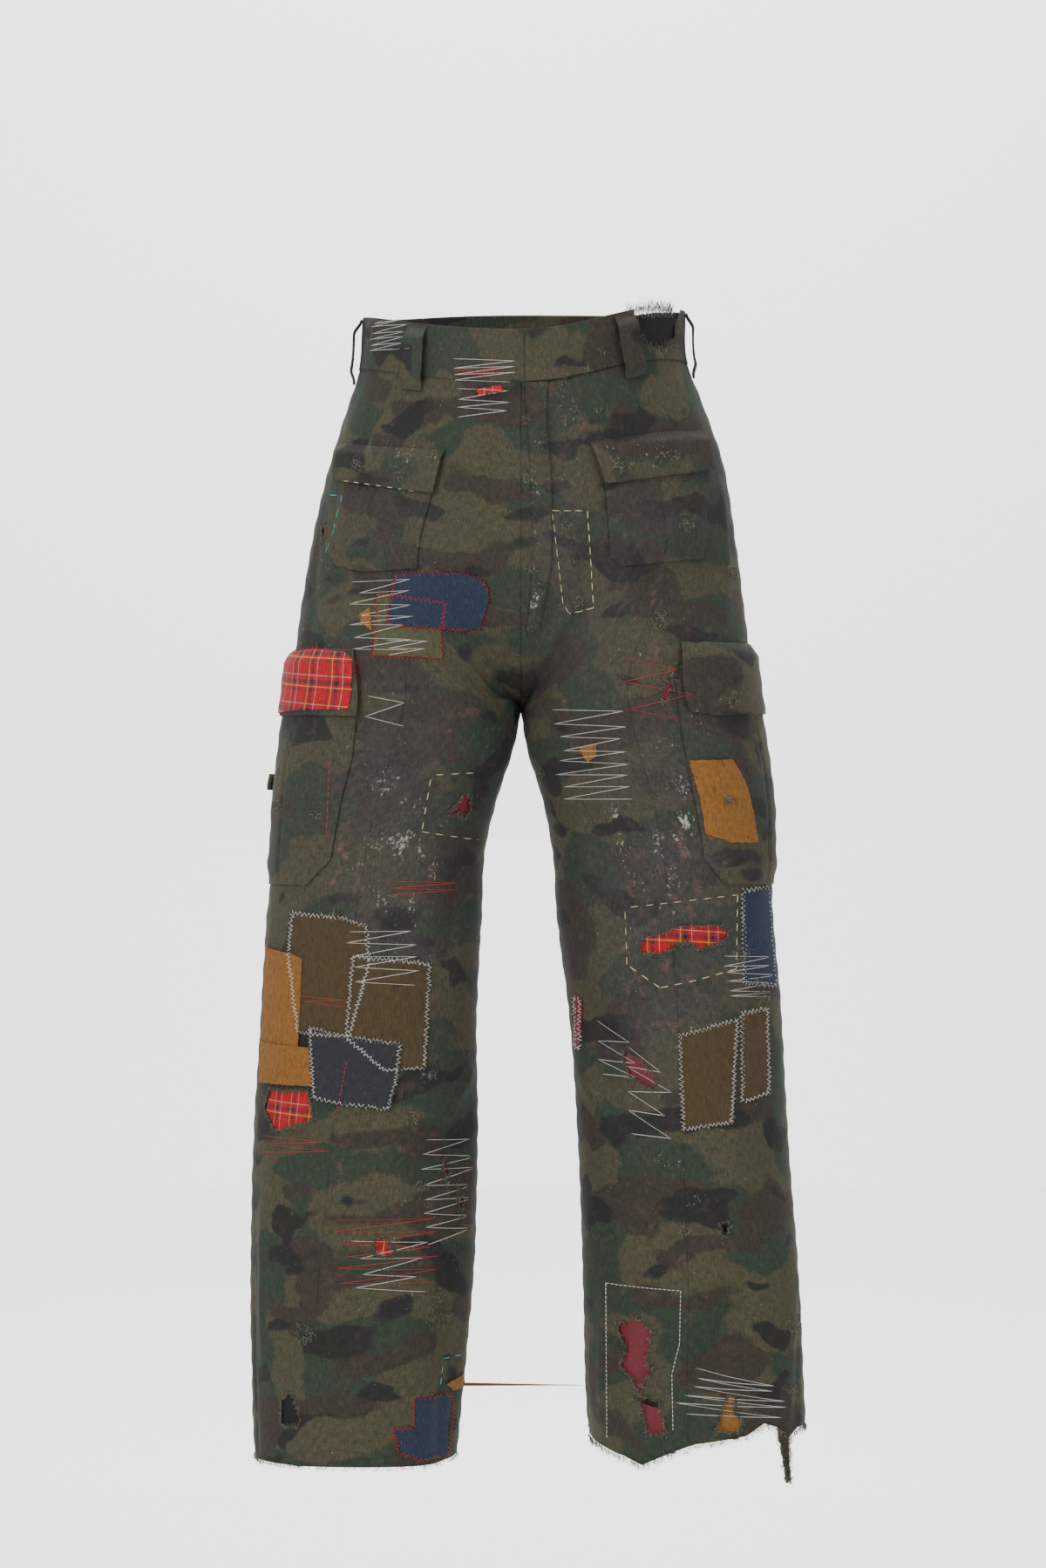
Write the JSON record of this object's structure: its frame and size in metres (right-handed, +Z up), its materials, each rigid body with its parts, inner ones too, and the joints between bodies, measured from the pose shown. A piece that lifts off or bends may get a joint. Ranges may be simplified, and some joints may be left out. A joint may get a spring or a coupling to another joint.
{
  "type": "cargo trousers",
  "caption": "Worn-shape camouflage cargo trousers with a wide straight leg, hip and cargo pockets, sewn-on patches, darned holes and ragged hems, open at the waist and both legs.",
  "frame": {"origin": "centre of the waist opening, at mid height of the waistband, where a waist holds the garment", "axes": "+Z up along the body, -Y to the front of the garment, +X to the wearer's left"},
  "size_m": [0.5144, 0.2611, 1.088],
  "materials": {
    "camo_cloth": "matte",
    "denim": "matte",
    "olive_cloth": "matte",
    "mustard_cloth": "matte",
    "brown_corduroy": "matte",
    "navy_cloth": "matte",
    "tartan_cloth": "matte",
    "crimson_cloth": "matte",
    "black_cloth": "matte"
  },
  "bodies": {
    "root": {"back_left": "camo_cloth", "back_right": "camo_cloth", "backing_diamond": "crimson_cloth", "backing_heart": "crimson_cloth", "backing_hem_black": "black_cloth", "backing_hem_mustard": "mustard_cloth", "backing_knee_crimson": "crimson_cloth", "backing_knee_slot": "tartan_cloth", "backing_knee_tartan": "tartan_cloth", "backing_shin_crimson": "crimson_cloth", "backing_shin_tartan": "tartan_cloth", "backing_side_mustard": "mustard_cloth", "backing_slit_high": "crimson_cloth", "backing_slit_low": "crimson_cloth", "backing_waist_black": "black_cloth", "band_back": "camo_cloth", "band_front_left": "camo_cloth", "band_front_right": "camo_cloth", "cargo_flap_left": "camo_cloth", "cargo_flap_right": "camo_cloth", "cargo_pocket_left": "camo_cloth", "cargo_pocket_right": "camo_cloth", "cargo_tab_right": "camo_cloth", "fly_front": "camo_cloth", "front_inner_left": "camo_cloth", "front_inner_right": "camo_cloth", "front_outer_left": "camo_cloth", "front_outer_right": "camo_cloth", "hem_tail_left": "camo_cloth", "hip_flap_left": "camo_cloth", "hip_flap_right": "camo_cloth", "hip_pocket_left": "camo_cloth", "hip_pocket_right": "camo_cloth", "loop_back_centre": "camo_cloth", "loop_back_left": "camo_cloth", "loop_back_right": "camo_cloth", "loop_front_left": "camo_cloth", "loop_front_right": "camo_cloth", "loop_side_left": "camo_cloth", "loop_side_right": "camo_cloth", "patch_brown_knee": "brown_corduroy", "patch_brown_knee_high": "brown_corduroy", "patch_brown_left": "brown_corduroy", "patch_brown_side": "brown_corduroy", "patch_denim_hem": "denim", "patch_denim_knee": "denim", "patch_denim_thigh": "denim", "patch_mustard_cargo": "mustard_cloth", "patch_mustard_knee": "mustard_cloth", "patch_mustard_low": "mustard_cloth", "patch_navy_knee": "navy_cloth", "patch_olive_thigh": "olive_cloth", "patch_tartan_flap": "tartan_cloth", "patch_waist_tartan": "tartan_cloth", "scrap_mustard_hem": "mustard_cloth", "scrap_mustard_left": "mustard_cloth", "scrap_mustard_thigh": "mustard_cloth", "strip_red_inner": "crimson_cloth"}
  },
  "joints": []
}
